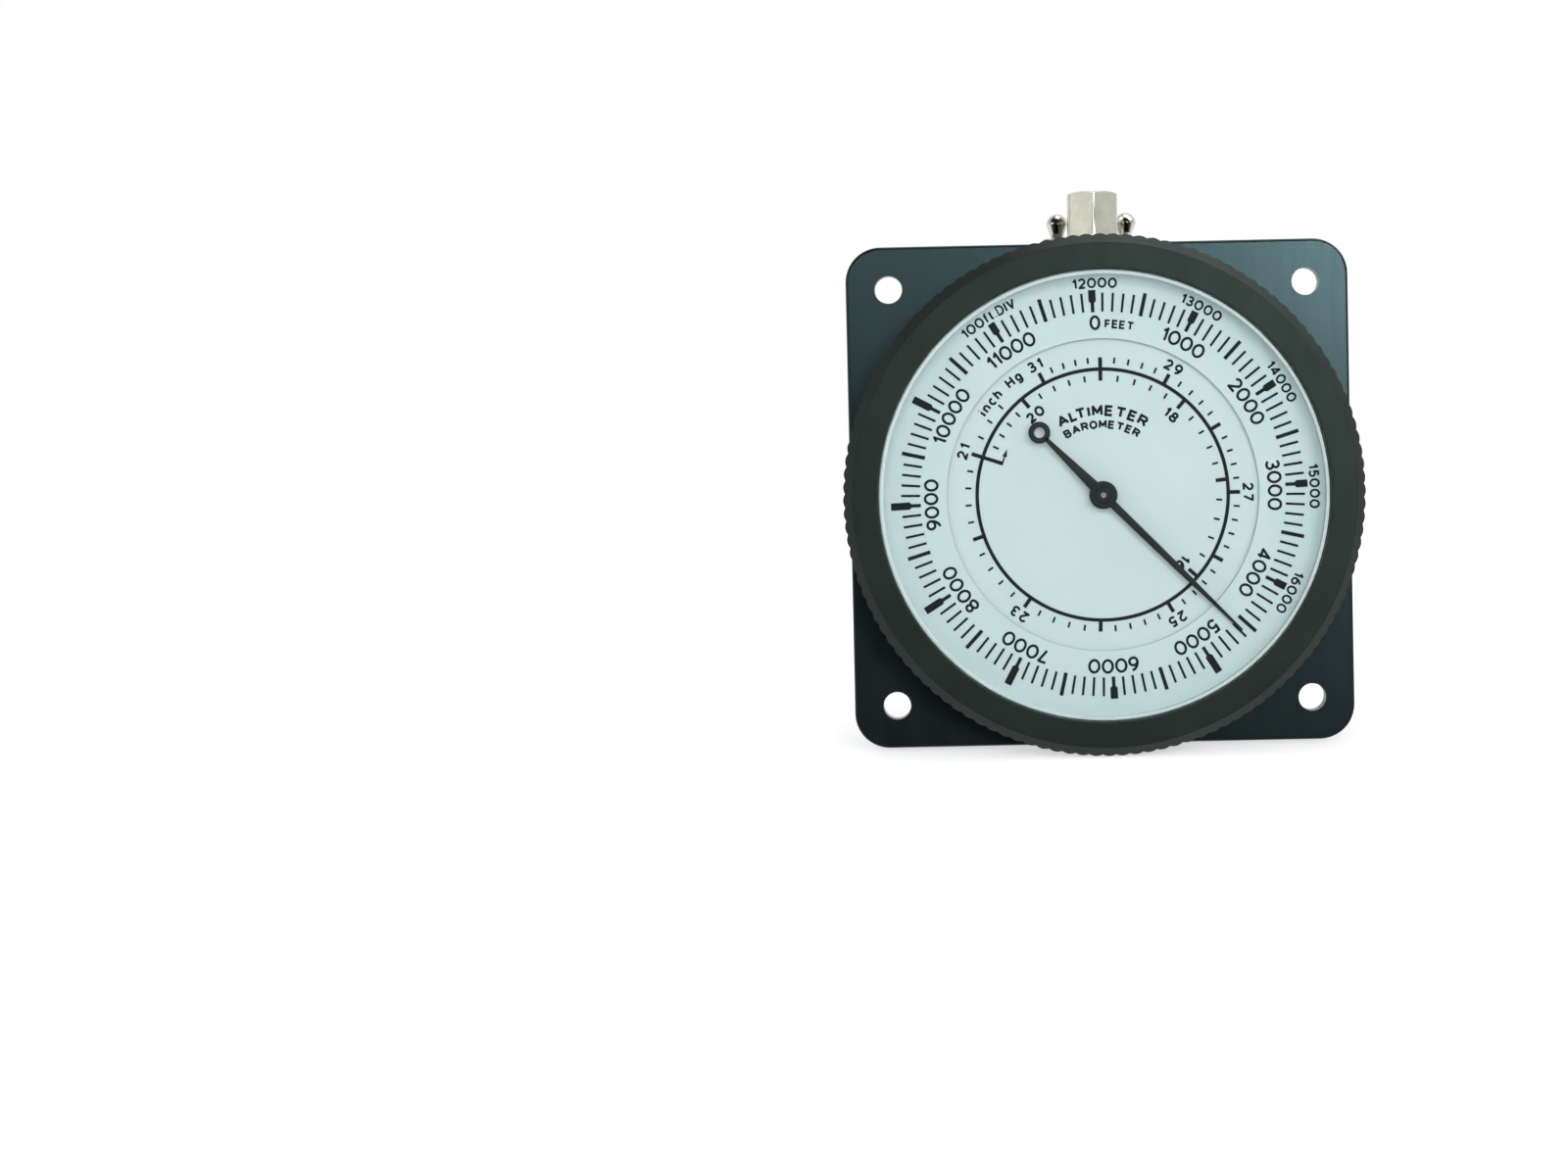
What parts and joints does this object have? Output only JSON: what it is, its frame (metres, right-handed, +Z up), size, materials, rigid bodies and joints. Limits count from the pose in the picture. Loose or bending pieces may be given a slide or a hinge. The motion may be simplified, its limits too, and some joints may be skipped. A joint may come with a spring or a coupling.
{
  "type": "altimeter",
  "caption": "Square-flanged panel altimeter with a round dial, one pointer, a turning altitude scale in a coin-edged bezel and a hexagonal pressure port on top.",
  "frame": {"origin": "centre of the four-hole mounting pattern, on the rear face of the front plate", "axes": "+X right and +Z up as seen from the front, +Y from the dial to the rear, along the pointer's axis"},
  "size_m": [0.1016, 0.0533, 0.1118],
  "materials": {
    "black_enamel": "gloss",
    "bezel_black": "satin",
    "nickel": "satin",
    "bright_screw": "polished",
    "rubber": "matte",
    "glass": "polished",
    "dial_white": "satin",
    "ink": "matte",
    "pointer_black": "matte",
    "steel": "polished",
    "spring_bronze": "satin",
    "brass": "satin",
    "bimetal": "satin",
    "jewel": "polished"
  },
  "bodies": {
    "case": {"case_body": "black_enamel", "port_fitting": "nickel", "port_screws": "bright_screw", "port_o_ring": "rubber", "rear_cover": "black_enamel", "rear_cover_gasket": "rubber", "cover_screws": "bright_screw", "bezel_retaining_ring": "steel", "pressure_dial": "dial_white", "pressure_marks": "ink", "top_plate": "brass", "base_plate": "brass", "plate_pillars": "brass", "gear_bridge": "brass", "bridge_pillars": "brass", "pivot_jewels": "jewel", "movement_screws": "steel", "rocker_posts": "steel", "lower_capsule": "spring_bronze", "capsule_stud": "brass", "capsule_nut": "brass", "hairspring": "spring_bronze", "hairspring_stud": "brass"},
    "bezel": {"bezel_ring": "bezel_black", "crystal": "glass", "crystal_gasket": "rubber", "reflector_ring": "dial_white", "altitude_ring": "dial_white", "altitude_marks": "ink", "ring_circlip": "steel"},
    "hand": {"pointer": "pointer_black", "pointer_bush": "pointer_black", "hand_staff": "steel", "pinion": "brass", "hairspring_collet": "brass"},
    "sector": {"sector_gear": "brass", "sector_arbor": "steel", "tail_pin": "steel"},
    "rocker": {"rocking_shaft": "steel", "sector_arm": "brass", "bimetal_arm": "bimetal", "rocker_weight": "brass"},
    "capsule_stack": {"upper_capsule": "spring_bronze"},
    "head": {"capsule_head": "brass", "clevis_pin": "steel"},
    "link": {"capsule_link": "brass"}
  },
  "joints": [
    {"name": "bezel_turn", "type": "hinge", "parent": "case", "child": "bezel", "pos_m": [0, 0, 0], "axis": [0, 1, 0], "continuous": true},
    {"name": "sector_swing", "type": "hinge", "parent": "case", "child": "sector", "pos_m": [0, 0, -0.022], "axis": [0, 1, 0], "range_deg": [-35.8, 16.2]},
    {"name": "pointer_spin", "type": "hinge", "parent": "case", "child": "hand", "pos_m": [0, 0, 0], "axis": [0, 1, 0], "range_deg": [-161.6, 357.1], "deforming": ["hairspring"]},
    {"name": "rocker_rock", "type": "hinge", "parent": "case", "child": "rocker", "pos_m": [0, 0.012, -0.022], "axis": [1, 0, 0], "range_deg": [-16.2, 35.8]},
    {"name": "capsule_lift", "type": "slide", "parent": "case", "child": "capsule_stack", "axis": [0, -1, 0], "range_m": [-0.00063, 0.0014], "stiffness_N_per_m": 3950, "deforming": ["lower_capsule"]},
    {"name": "head_lift", "type": "slide", "parent": "capsule_stack", "child": "head", "axis": [0, -1, 0], "range_m": [-0.00064, 0.00141], "deforming": ["upper_capsule"]},
    {"name": "link_swing", "type": "hinge", "parent": "head", "child": "link", "pos_m": [0.004, 0.01777, -0.0175], "axis": [1, 0, 0], "range_deg": [-1, 2.2]}
  ],
  "couplings": [
    {"joint": "head_lift", "follows": "capsule_lift", "ratio": 1},
    {"joint": "sector_swing", "follows": "capsule_lift", "rad_per_m": -444.44},
    {"joint": "pointer_spin", "follows": "capsule_lift", "rad_per_m": 4444.4},
    {"joint": "rocker_rock", "follows": "capsule_lift", "rad_per_m": 444.44},
    {"joint": "link_swing", "follows": "capsule_lift", "rad_per_m": 26.667}
  ]
}
